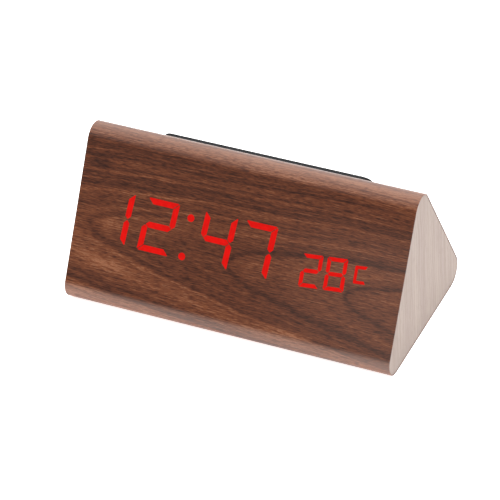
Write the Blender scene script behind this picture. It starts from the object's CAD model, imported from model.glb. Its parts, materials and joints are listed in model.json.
"""Looks of a three-sided LED desk clock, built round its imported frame. Lengths are in metres."""

import json
import logging
import math
from dataclasses import dataclass, field
from enum import Enum
from typing import NamedTuple

import bmesh
import bpy
import numpy as np
from mathutils import Matrix, Vector


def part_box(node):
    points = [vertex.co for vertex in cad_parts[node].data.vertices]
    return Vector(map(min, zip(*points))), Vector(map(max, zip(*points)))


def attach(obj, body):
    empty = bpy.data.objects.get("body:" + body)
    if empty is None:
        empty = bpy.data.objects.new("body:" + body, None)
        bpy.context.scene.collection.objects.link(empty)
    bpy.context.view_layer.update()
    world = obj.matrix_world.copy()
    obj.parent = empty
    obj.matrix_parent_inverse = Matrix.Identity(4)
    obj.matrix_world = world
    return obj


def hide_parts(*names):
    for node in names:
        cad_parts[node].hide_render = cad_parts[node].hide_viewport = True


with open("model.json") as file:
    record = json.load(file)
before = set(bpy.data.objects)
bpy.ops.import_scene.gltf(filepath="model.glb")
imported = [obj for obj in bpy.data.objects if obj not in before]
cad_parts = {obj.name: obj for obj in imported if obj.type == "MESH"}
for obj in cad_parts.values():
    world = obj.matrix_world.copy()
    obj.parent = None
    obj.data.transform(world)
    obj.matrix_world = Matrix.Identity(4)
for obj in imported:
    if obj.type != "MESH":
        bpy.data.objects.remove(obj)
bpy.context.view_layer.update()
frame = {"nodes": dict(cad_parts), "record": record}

log = logging.getLogger("desk_clock")
MM = 0.001
TURN = 2 * math.pi
ROOT3 = math.sqrt(3)

# where the arcs of the front corner, the ridge and the back corner start, as seen from the right end
CORNER_STARTS = np.radians((270.0, 150.0, 30.0))

# names of the film's map, and of the attribute with a cell's share of length
GRAIN_MAP = "grain"
LENGTH_SHARE = "along"

Socket = bpy.types.NodeSocket
Triple = tuple[float, float, float]
Colour = Triple
Value = Socket | float | Triple
Span = tuple[float, float]
Tones = tuple[Span, ...]
Stops = tuple[tuple[float, Colour], ...]
Box = tuple[np.ndarray, np.ndarray]


def srgb(red: int, green: int, blue: int) -> Colour:
    """Linear colour of a shade that is named by its display values, by the standard display curve.

    Args:
        red, green, blue: display values from 0 to 255.

    Returns:
        The same shade in linear light.
    """
    shares = np.array((red, green, blue)) / 255
    linear = np.where(shares <= 0.04045, shares / 12.92, ((shares + 0.055) / 1.055) ** 2.4)
    return tuple(float(value) for value in linear)


def scaled(colour: Colour, gain: float, lift: float = 0.0) -> Colour:
    """Colour times a gain and plus a lift, with no part over 1."""
    return tuple(min(1.0, value * gain + lift) for value in colour)


# Shapes worked out as whole arrays


def vertex_places(mesh: bpy.types.Mesh) -> np.ndarray:
    """Read where a mesh's vertices are.

    Args:
        mesh: the mesh.

    Returns:
        A row of X, Y and Z for each vertex.
    """
    places = np.empty(len(mesh.vertices) * 3)
    mesh.vertices.foreach_get("co", places)
    return places.reshape(-1, 3)


def map_grain(piece: bpy.types.Object, along: np.ndarray, across: np.ndarray) -> None:
    """Give a piece the map that the film's print follows.

    Args:
        piece: the piece.
        along, across: each vertex's place on the film.
    """
    mesh = piece.data
    corner_vertices = np.empty(len(mesh.loops), dtype=np.int64)
    mesh.loops.foreach_get("vertex_index", corner_vertices)
    places = np.stack((along, across), axis=1)[corner_vertices]
    mesh.uv_layers.new(name=GRAIN_MAP).data.foreach_set("uv", places.astype(np.float32).ravel())


def box_of(points: np.ndarray) -> Box:
    """Lowest and highest corner of the box round some points."""
    return points.min(axis=0), points.max(axis=0)


@dataclass(frozen=True)
class Face:
    """A flat side of the case, with its own axes: right and up along it, and out of it."""

    origin: np.ndarray
    right: np.ndarray
    up: np.ndarray
    out: np.ndarray

    @property
    def axes(self) -> np.ndarray:
        """The three axes, one in each row."""
        return np.stack((self.right, self.up, self.out))

    def place(self, points: np.ndarray) -> np.ndarray:
        """Turn points in the face's axes into points of the frame."""
        return self.origin + points @ self.axes

    def read(self, node: str) -> np.ndarray:
        """Corners of a CAD node's triangles, in the face's axes."""
        return (vertex_places(frame["nodes"][node].data) - self.origin) @ self.axes.T

    def halves(self, node: str, axis: int) -> tuple[Box, Box]:
        """Boxes of two alike pieces of a CAD node that stand apart.

        Args:
            node: the CAD node that holds both.
            axis: the face's axis along which they stand apart.

        Returns:
            The box of each piece, in the face's axes.
        """
        points = self.read(node)
        low, high = box_of(points)
        first = points[:, axis] < (low[axis] + high[axis]) / 2
        return box_of(points[first]), box_of(points[~first])


class Shell:
    """Vertices and faces of one piece, gathered from grids."""

    merge: float = 0.0005 * MM
    sliver: float = 0.0002 * MM

    def __init__(self) -> None:
        """Start with nothing."""
        self.points: list[np.ndarray] = []
        self.faces: list[list[int]] = []
        self.count = 0

    def grid(self, points: np.ndarray, wrap: bool = False, skip: np.ndarray | None = None) -> np.ndarray:
        """Add a grid of points and the quads between its neighbours.

        Args:
            points: array of rows, columns and three coordinates.
            wrap: whether the last column joins the first.
            skip: marks of the quads that are left out.

        Returns:
            The vertex numbers, in rows and columns.
        """
        rows, columns = points.shape[:2]
        numbers = self.count + np.arange(rows * columns).reshape(rows, columns)
        self.points.append(points.reshape(-1, 3))
        self.count += rows * columns
        across = np.concatenate((numbers, numbers[:, :1]), axis=1) if wrap else numbers
        quads = np.stack((across[:-1, :-1], across[:-1, 1:], across[1:, 1:], across[1:, :-1]), axis=-1)
        kept = quads[~skip] if skip is not None else quads.reshape(-1, 4)
        self.faces += kept.tolist()
        return numbers

    def cap(self, ring: np.ndarray) -> None:
        """Close a ring of vertices with one face."""
        self.faces.append(ring.tolist())

    def make(self, name: str, sharp: float = 35.0) -> bpy.types.Object:
        """Merge what lies together, turn the faces outwards and make the object.

        Args:
            name: the piece's name.
            sharp: angle in degrees above which an edge shows.

        Returns:
            The new object, linked to the scene.
        """
        mesh = bpy.data.meshes.new(name)
        mesh.from_pydata(np.concatenate(self.points), [], self.faces)
        work = bmesh.new()
        work.from_mesh(mesh)
        bmesh.ops.remove_doubles(work, verts=work.verts, dist=self.merge)
        bmesh.ops.dissolve_degenerate(work, edges=work.edges, dist=self.sliver)
        bmesh.ops.recalc_face_normals(work, faces=work.faces)
        work.to_mesh(mesh)
        work.free()
        mesh.shade_smooth()
        mesh.set_sharp_from_angle(angle=math.radians(sharp))
        piece = bpy.data.objects.new(name, mesh)
        bpy.context.scene.collection.objects.link(piece)
        return piece


def rounded(corners: list[Triple], steps: int) -> np.ndarray:
    """Profile whose corners are arcs that touch both of their sides.

    Each arc is the circle of the corner's radius between its two tangent points.

    Args:
        corners: two coordinates and a radius for each corner; the ends have none.
        steps: points on each arc.

    Returns:
        The profile's points.
    """
    table = np.array(corners, dtype=float)
    places, radii = table[:, :2], table[1:-1, 2]
    parts = [places[:1]]
    for before, here, after, radius in zip(places, places[1:], places[2:], radii):
        if radius <= 0:
            parts.append(here[None])
            continue
        back = (before - here) / np.linalg.norm(before - here)
        ahead = (after - here) / np.linalg.norm(after - here)
        half = math.acos(float(np.clip(back @ ahead, -1, 1))) / 2
        centre = here + (back + ahead) / np.linalg.norm(back + ahead) * radius / math.sin(half)
        first = here + back * radius / math.tan(half) - centre
        last = here + ahead * radius / math.tan(half) - centre
        share = np.linspace(0, 1, steps)[:, None]
        swing = math.pi - 2 * half
        arc = (np.sin((1 - share) * swing) * first + np.sin(share * swing) * last) / math.sin(swing)
        parts.append(centre + arc)
    parts.append(places[-1:])
    return np.concatenate(parts)


def lathe(shell: Shell, profile: np.ndarray, centre: np.ndarray, axis: np.ndarray, side: np.ndarray,
          sides: int) -> None:
    """Turn a profile of radius and height round an axis.

    A point lies at its radius from the axis, in the direction of its angle, and at its height along it.

    Args:
        shell: where the surface goes.
        profile: radius and height of each ring.
        centre, axis, side: the axis's start, its direction, and the direction of the first meridian.
        sides: meridians.
    """
    angle = np.arange(sides) / sides * TURN
    other = np.cross(axis, side)
    spokes = np.cos(angle)[:, None] * side + np.sin(angle)[:, None] * other
    shell.grid(centre + profile[:, None, :1] * spokes + profile[:, None, 1:] * axis, wrap=True)


def tube(shell: Shell, path: np.ndarray, radius: float, reference: np.ndarray, sides: int) -> None:
    """Carry a circle along a path, square to it, and close its ends.

    A point lies at the wire's radius from its path, in the direction of its angle.

    Args:
        shell: where the tube goes.
        path: points of the centre line.
        radius: of the wire.
        reference: a direction that the path never runs along.
        sides: of the circle.
    """
    ahead = np.gradient(path, axis=0)
    ahead /= np.linalg.norm(ahead, axis=1)[:, None]
    first = np.cross(ahead, reference)
    first /= np.linalg.norm(first, axis=1)[:, None]
    second = np.cross(ahead, first)
    angle = np.arange(sides) / sides * TURN
    ring = np.cos(angle)[None, :, None] * first[:, None] + np.sin(angle)[None, :, None] * second[:, None]
    numbers = shell.grid(path[:, None] + radius * ring, wrap=True)
    shell.cap(numbers[0])
    shell.cap(numbers[-1])


# Finishes


class Graph:
    """The nodes of one material or group, written from left to right."""

    def __init__(self, tree: bpy.types.NodeTree) -> None:
        """Work on a tree of shader nodes."""
        self.tree = tree

    def node(self, kind: str, **settings: object) -> bpy.types.Node:
        """Add a node.

        Args:
            kind: its type.
            settings: its options.

        Returns:
            The new node.
        """
        made = self.tree.nodes.new(kind)
        for key, value in settings.items():
            setattr(made, key, value)
        return made

    def put(self, socket: Socket, value: Value) -> None:
        """Feed a socket from another one, or set its value.

        Args:
            socket: the socket.
            value: another socket, a number, or a colour or place.
        """
        if isinstance(value, Socket):
            self.tree.links.new(value, socket)
        elif isinstance(value, tuple) and socket.type == "RGBA":
            socket.default_value = (*value, 1.0)
        else:
            socket.default_value = value

    def filled(self, node: bpy.types.Node, *values: Value) -> Socket:
        """Feed a node's first sockets in order.

        Args:
            node: the node.
            values: what goes in.

        Returns:
            Its first output.
        """
        for socket, value in zip(node.inputs, values):
            self.put(socket, value)
        return node.outputs[0]

    def math(self, operation: str, *values: Value) -> Socket:
        """Result of one arithmetic step."""
        return self.filled(self.node("ShaderNodeMath", operation=operation), *values)

    def add(self, *values: Value) -> Socket:
        """Add several values.

        Args:
            values: what is added.

        Returns:
            Their sum.
        """
        total = values[0]
        for value in values[1:]:
            total = self.math("ADD", total, value)
        return total

    def times(self, first: Value, second: Value) -> Socket:
        """Product of two values."""
        return self.math("MULTIPLY", first, second)

    def swing(self, pattern: Socket, reach: Value) -> Socket:
        """Pattern from 0 to 1, moved to lie evenly round 0 and multiplied by a reach."""
        return self.times(self.add(pattern, -0.5), reach)

    def diagonal(self, first: Value, second: Value) -> Socket:
        """Square root of the sum of two squares."""
        return self.math("SQRT", self.add(self.times(first, first), self.times(second, second)))

    def steps(self, value: Value, span: Span, first: float = 0.0, last: float = 1.0) -> Socket:
        """Change smoothly from one number to another while a value runs over a span.

        Args:
            value: what runs.
            span: where the change starts and ends.
            first, last: the number before the span and after it.

        Returns:
            The changing number.
        """
        made = self.node("ShaderNodeMapRange", interpolation_type="SMOOTHSTEP")
        return self.filled(made, value, *span, first, last)

    def between(self, value: Value, rise: Span, fall: Span, height: float) -> Socket:
        """Number that rises from 0 to a height over one span and falls back over another."""
        return self.times(self.steps(value, rise), self.steps(value, fall, height, 0.0))

    def point(self) -> Socket:
        """Place on the object, in millimetres."""
        return self.stretched(self.node("ShaderNodeTexCoord").outputs["Object"], (1 / MM, 1 / MM, 1 / MM))

    def stretched(self, place: Socket, scale: Triple) -> Socket:
        """Place multiplied by a scale along each axis."""
        return self.filled(self.node("ShaderNodeVectorMath", operation="MULTIPLY"), place, scale)

    def parts(self, place: Socket) -> list[Socket]:
        """Take a place apart.

        Args:
            place: the place.

        Returns:
            Its three coordinates.
        """
        made = self.node("ShaderNodeSeparateXYZ")
        self.put(made.inputs[0], place)
        return list(made.outputs)

    def joined(self, *values: Value) -> Socket:
        """Place from its coordinates."""
        return self.filled(self.node("ShaderNodeCombineXYZ"), *values)

    def noise(self, place: Socket, scale: Value = 1.0, detail: float = 2.0, roughness: float = 0.5,
              distortion: float = 0.0) -> Socket:
        """Make a soft random pattern from 0 to 1.

        Args:
            place: where it is read.
            scale: patches to a unit of the place.
            detail: how many finer layers lie over it.
            roughness: how strong each layer is beside the one before.
            distortion: how far it swirls.

        Returns:
            The pattern.
        """
        made = self.node("ShaderNodeTexNoise")
        for key, value in (("Vector", place), ("Scale", scale), ("Detail", detail),
                           ("Roughness", roughness), ("Distortion", distortion)):
            self.put(made.inputs[key], value)
        return made.outputs["Fac"]

    def ramp(self, value: Socket, stops: Stops, interpolation: str = "LINEAR") -> Socket:
        """Turn a value from 0 to 1 into a colour.

        Args:
            value: the value.
            stops: place and colour of each stop.
            interpolation: how the colour changes between two stops.

        Returns:
            The colour.
        """
        made = self.node("ShaderNodeValToRGB")
        self.put(made.inputs[0], value)
        made.color_ramp.interpolation = interpolation
        band = made.color_ramp.elements
        while len(band) > 1:
            band.remove(band[-1])
        for number, (place, colour) in enumerate(stops):
            element = band[0] if number == 0 else band.new(place)
            element.position = place
            element.color = (*colour, 1.0)
        return made.outputs[0]

    def mix(self, share: Value, first: Value, second: Value) -> Socket:
        """Blend two colours.

        Args:
            share: how much of the second colour shows.
            first, second: the colours.

        Returns:
            The blend.
        """
        made = self.node("ShaderNodeMix", data_type="RGBA")
        colours = [socket for socket in made.inputs if socket.type == "RGBA"]
        for socket, value in zip((made.inputs[0], *colours), (share, first, second)):
            self.put(socket, value)
        return next(socket for socket in made.outputs if socket.type == "RGBA")

    def bump(self, height: Socket, distance: float) -> Socket:
        """Turn a height into a direction of the surface.

        Args:
            height: pattern from 0 to 1.
            distance: how high 1 is.

        Returns:
            The direction.
        """
        made = self.node("ShaderNodeBump")
        made.inputs["Distance"].default_value = distance
        self.put(made.inputs["Height"], height)
        return made.outputs[0]

    def group(self, tree: bpy.types.NodeTree, **values: Value) -> bpy.types.Node:
        """Place a node group.

        Args:
            tree: the group.
            values: its inputs, with a low line for a space in a name.

        Returns:
            The group's node.
        """
        made = self.node("ShaderNodeGroup", node_tree=tree)
        for key, value in values.items():
            self.put(made.inputs[key.replace("_", " ")], value)
        return made


class Group(Graph):
    """The nodes of a new group that several materials share."""

    def __init__(self, name: str, inputs: dict[str, float | None], outputs: tuple[str, ...]) -> None:
        """Start a group with its inputs and outputs.

        Args:
            name: the group's name.
            inputs: first value of each input, or None for a place.
            outputs: names of the outputs, which are all numbers.
        """
        super().__init__(bpy.data.node_groups.new(name, "ShaderNodeTree"))
        new_socket = self.tree.interface.new_socket
        for key, value in inputs.items():
            kind = "Vector" if value is None else "Float"
            socket = new_socket(name=key, in_out="INPUT", socket_type=f"NodeSocket{kind}")
            if value is not None:
                socket.default_value = value
        for key in outputs:
            new_socket(name=key, in_out="OUTPUT", socket_type="NodeSocketFloat")
        self.given = self.node("NodeGroupInput").outputs
        self.wanted = self.node("NodeGroupOutput").inputs

    def drawn_out(self, length: str, width: str) -> Socket:
        """Divide the group's place by two of its inputs.

        Args:
            length: the input that X is divided by.
            width: the input that Y and Z are divided by.

        Returns:
            The place in units of both.
        """
        along, across, depth = self.parts(self.given["Place"])
        return self.joined(
            self.math("DIVIDE", along, self.given[length]),
            self.math("DIVIDE", across, self.given[width]),
            self.math("DIVIDE", depth, self.given[width]),
        )


def fibre_group() -> bpy.types.NodeTree:
    """Draw long streaks, fine dashes and short pores that run along X of a place in millimetres.

    A pore opens where the dashes' pattern is high.

    Returns:
        The group.
    """
    pore_rise = (0.58, 0.68)
    group = Group(
        "wood fibre",
        {"Place": None, "Streak Length": 40.0, "Streak Width": 0.6, "Pore Length": 2.6, "Pore Width": 0.22},
        ("Streaks", "Dashes", "Pores"),
    )
    streaks = group.noise(group.drawn_out("Streak Length", "Streak Width"), detail=3.0, roughness=0.6)
    dashes = group.noise(group.drawn_out("Pore Length", "Pore Width"), detail=1.0)
    group.put(group.wanted["Streaks"], streaks)
    group.put(group.wanted["Dashes"], dashes)
    group.put(group.wanted["Pores"], group.steps(dashes, pore_rise))
    return group.tree


def grain_group() -> bpy.types.NodeTree:
    """Draw the fine pebbled texture of a spark-eroded mould, with faint smears from handling.

    Returns:
        The group.
    """
    smear_scale = 0.07
    smear_rise = (0.4, 0.7)
    group = Group("moulded grain", {"Place": None, "Pebble": 0.25}, ("Height", "Smear"))
    scale = group.math("DIVIDE", 1.0, group.given["Pebble"])
    pebbles = group.noise(group.given["Place"], scale=scale, roughness=0.6)
    smear = group.noise(group.given["Place"], scale=smear_scale, detail=3.0, distortion=0.6)
    group.put(group.wanted["Height"], pebbles)
    group.put(group.wanted["Smear"], group.steps(smear, smear_rise))
    return group.tree


class Effects:
    """Node groups that several materials share."""

    fibre = fibre_group()
    grain = grain_group()


class FibrePattern(NamedTuple):
    """The three patterns of the wood fibre group, each from 0 to 1."""

    streaks: Socket
    dashes: Socket
    pores: Socket


@dataclass(frozen=True)
class Fibre:
    """Lengths and widths of one wood's streaks and pores, in millimetres."""

    streak_length: float
    streak_width: float
    pore_length: float
    pore_width: float

    def draw(self, graph: Graph, place: Socket) -> FibrePattern:
        """Draw the fibre along X of a place.

        Args:
            graph: where its nodes go.
            place: the place, in millimetres.

        Returns:
            Its patterns.
        """
        made = graph.group(Effects.fibre, Place=place, Streak_Length=self.streak_length,
                           Streak_Width=self.streak_width, Pore_Length=self.pore_length,
                           Pore_Width=self.pore_width)
        return FibrePattern(made.outputs["Streaks"], made.outputs["Dashes"], made.outputs["Pores"])


class Surface(Graph):
    """The nodes of one material, with its shader."""

    def __init__(self, material: bpy.types.Material) -> None:
        """Work on a new material.

        Args:
            material: the material, which gets nodes.
        """
        material.use_nodes = True
        super().__init__(material.node_tree)
        self.shader = self.tree.nodes["Principled BSDF"]

    def feed(self, name: str, value: Value) -> None:
        """Feed one of the shader's sockets, or set its value."""
        self.put(self.shader.inputs[name], value)


@dataclass(frozen=True)
class Finish:
    """A surface finish; each kind fills in its own nodes."""

    name: str
    colour: Colour
    roughness: float = 0.5

    def material(self) -> bpy.types.Material:
        """Make the finish's material, or find it once it is made.

        Returns:
            The material.
        """
        made = bpy.data.materials.get(self.name)
        if made is None:
            made = bpy.data.materials.new(self.name)
            surface = Surface(made)
            surface.feed("Base Color", self.colour)
            surface.feed("Roughness", self.roughness)
            self.fill(surface)
        return made

    def fill(self, surface: Surface) -> None:
        """Feed the sockets that this kind of finish changes."""

    def dress(self, piece: bpy.types.Object) -> None:
        """Give a piece this finish alone."""
        piece.data.materials.clear()
        piece.data.materials.append(self.material())


@dataclass(frozen=True)
class Moulding(Finish):
    """Moulded plastic with a fine texture, a little smeared where it is handled."""

    pebble: float = 0.3
    depth: float = 0.01
    gloss: float = 0.5
    see_through: float = 0.0
    smear_rough: float = 0.05
    light_gain: float = 1.25
    light_lift: float = 0.004

    def fill(self, surface: Surface) -> None:
        """Put pebbles in the height and a little in the colour, and smears in the roughness.

        Args:
            surface: the material's nodes.
        """
        grain = surface.group(Effects.grain, Place=surface.point(), Pebble=self.pebble)
        pebbles = grain.outputs["Height"]
        smears = surface.times(grain.outputs["Smear"], self.smear_rough)
        light = scaled(self.colour, self.light_gain, self.light_lift)
        surface.feed("Base Color", surface.mix(pebbles, self.colour, light))
        surface.feed("Roughness", surface.add(smears, self.roughness))
        surface.feed("Normal", surface.bump(pebbles, self.depth * MM))
        surface.feed("Specular IOR Level", self.gloss)
        surface.feed("Transmission Weight", self.see_through)


@dataclass(frozen=True)
class Metal(Finish):
    """Plated or drawn metal with fine marks along one direction."""

    marks: Triple = (0.3, 6.0, 6.0)
    mark_rough: float = 0.2
    mark_depth: float = 0.004
    tarnish: Colour = (0.35, 0.31, 0.26)
    tarnish_scale: float = 0.8
    tarnish_rise: Span = (0.55, 0.8)
    tarnish_share: float = 0.5

    def fill(self, surface: Surface) -> None:
        """Put drawn marks in the height and roughness, and faint tarnish in the colour.

        Args:
            surface: the material's nodes.
        """
        place = surface.point()
        lines = surface.noise(surface.stretched(place, self.marks), detail=3.0)
        spots = surface.noise(place, scale=self.tarnish_scale, detail=4.0, roughness=0.65)
        share = surface.steps(spots, self.tarnish_rise, 0.0, self.tarnish_share)
        surface.feed("Base Color", surface.mix(share, self.colour, self.tarnish))
        surface.feed("Roughness", surface.add(surface.swing(lines, self.mark_rough), self.roughness))
        surface.feed("Normal", surface.bump(lines, self.mark_depth * MM))
        surface.feed("Metallic", 1.0)


@dataclass(frozen=True)
class LitGuide(Finish):
    """Light guide with its lamp on, a little brighter in soft patches."""

    glow: Colour = (1.0, 0.006, 0.003)
    strength: float = 0.77
    dim_gain: float = 0.88
    patch_scale: float = 0.35
    patch_rise: Span = (0.35, 0.65)
    gloss: float = 0.05

    def fill(self, surface: Surface) -> None:
        """Light the guide, a little unevenly along each bar.

        Args:
            surface: the material's nodes.
        """
        patches = surface.noise(surface.point(), scale=self.patch_scale, detail=1.0)
        bright = surface.steps(patches, self.patch_rise)
        surface.feed("Emission Color", surface.mix(bright, scaled(self.glow, self.dim_gain), self.glow))
        surface.feed("Emission Strength", self.strength)
        surface.feed("Specular IOR Level", self.gloss)


@dataclass(frozen=True)
class CircuitBoard(Finish):
    """Green solder mask over a weave and copper tracks."""

    track_scale: Triple = (0.16, 0.35, 0.35)
    track_edge: Span = (0.03, 0.06)
    track_share: float = 0.7
    weave_scale: Triple = (2.0, 2.0, 2.0)
    weave_share: float = 0.3
    weave_height: float = 0.2
    light_gain: float = 1.8
    light_lift: float = 0.01
    depth: float = 0.02
    coat: float = 0.4

    def fill(self, surface: Surface) -> None:
        """Draw tracks as the edges of stretched cells, a little lighter and higher than the board.

        Args:
            surface: the material's nodes.
        """
        place = surface.point()
        cells = surface.node("ShaderNodeTexVoronoi", feature="DISTANCE_TO_EDGE", distance="MANHATTAN")
        surface.put(cells.inputs["Vector"], surface.stretched(place, self.track_scale))
        tracks = surface.steps(cells.outputs["Distance"], self.track_edge, 1.0, 0.0)
        weave = surface.noise(surface.stretched(place, self.weave_scale))
        light = scaled(self.colour, self.light_gain, self.light_lift)
        colour = surface.mix(surface.times(tracks, self.track_share), self.colour, light)
        height = surface.add(tracks, surface.times(weave, self.weave_height))
        surface.feed("Base Color", surface.mix(surface.times(weave, self.weave_share), colour, light))
        surface.feed("Normal", surface.bump(height, self.depth * MM))
        surface.feed("Coat Weight", self.coat)


@dataclass(frozen=True)
class Fibreboard(Finish):
    """Raw pressed fibre, speckled lighter and darker."""

    felt_scale: float = 2.2
    dark_gain: float = 0.6
    light_gain: float = 1.25
    fleck_scale: float = 3.5
    fleck_rise: Span = (0.6, 0.72)
    fleck_share: float = 0.5
    depth: float = 0.05

    def fill(self, surface: Surface) -> None:
        """Put short felted fibres in the colour and the height.

        Args:
            surface: the material's nodes.
        """
        place = surface.point()
        felt = surface.noise(place, scale=self.felt_scale, detail=4.0, roughness=0.7, distortion=1.2)
        flecks = surface.steps(surface.noise(place, scale=self.fleck_scale), self.fleck_rise)
        dark = scaled(self.colour, self.dark_gain)
        colour = surface.mix(felt, dark, scaled(self.colour, self.light_gain))
        surface.feed("Base Color", surface.mix(surface.times(flecks, self.fleck_share), colour, dark))
        surface.feed("Normal", surface.bump(felt, self.depth * MM))


@dataclass(frozen=True)
class PaleEnd(Finish):
    """Pale end skin with fine upright grain."""

    fibre: Fibre = Fibre(60.0, 0.6, 5.0, 0.35)
    lean_scale: float = 0.03
    lean_reach: float = 6.0
    band_colour: Colour = srgb(184, 169, 160)
    band_scale: Triple = (0.01, 0.09, 0.0)
    band_rise: Span = (0.3, 0.7)
    line_colour: Colour = srgb(158, 141, 132)
    line_rise: Span = (0.42, 0.62)
    line_share: float = 0.6
    pore_share: float = 0.5
    pore_height: float = -0.5
    depth: float = 0.015
    gloss: float = 0.2

    def fill(self, surface: Surface) -> None:
        """Put upright streaks and pores in the colour and the height, and broad bands in the colour.

        Args:
            surface: the material's nodes.
        """
        x, y, z = surface.parts(surface.point())
        lean = surface.noise(surface.joined(0.0, 0.0, z), scale=self.lean_scale)
        place = surface.joined(z, surface.add(y, surface.times(lean, self.lean_reach)), x)
        pattern = self.fibre.draw(surface, place)
        bands = surface.noise(surface.stretched(place, self.band_scale))
        colour = surface.mix(surface.steps(bands, self.band_rise), self.colour, self.band_colour)
        lines = surface.steps(pattern.streaks, self.line_rise, 0.0, self.line_share)
        colour = surface.mix(lines, colour, self.line_colour)
        pores = surface.times(pattern.pores, self.pore_share)
        height = surface.add(pattern.streaks, surface.times(pattern.pores, self.pore_height))
        surface.feed("Base Color", surface.mix(pores, colour, self.line_colour))
        surface.feed("Normal", surface.bump(height, self.depth * MM))
        surface.feed("Specular IOR Level", self.gloss)


@dataclass(frozen=True)
class LateRing:
    """A thin dark ring: its number, half its width on the film in millimetres, and how dark it is."""

    number: float
    half_width: float
    darkness: float


@dataclass(frozen=True)
class Patch:
    """A soft oval on the film: its middle and half sizes in millimetres, and its change of tone."""

    along: float
    across: float
    half_length: float
    half_height: float
    change: float


class FilmPlace(NamedTuple):
    """A place on the film in millimetres, how far the grain is warped there, and the patterns there."""

    along: Socket
    across: Socket
    warp: Socket
    quick: Socket
    fibre: FibrePattern


class RingPlace(NamedTuple):
    """A place among the rings: its height over their axis, the root in their formula, and its number."""

    height: Socket
    root: Socket
    number: Socket


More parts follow.
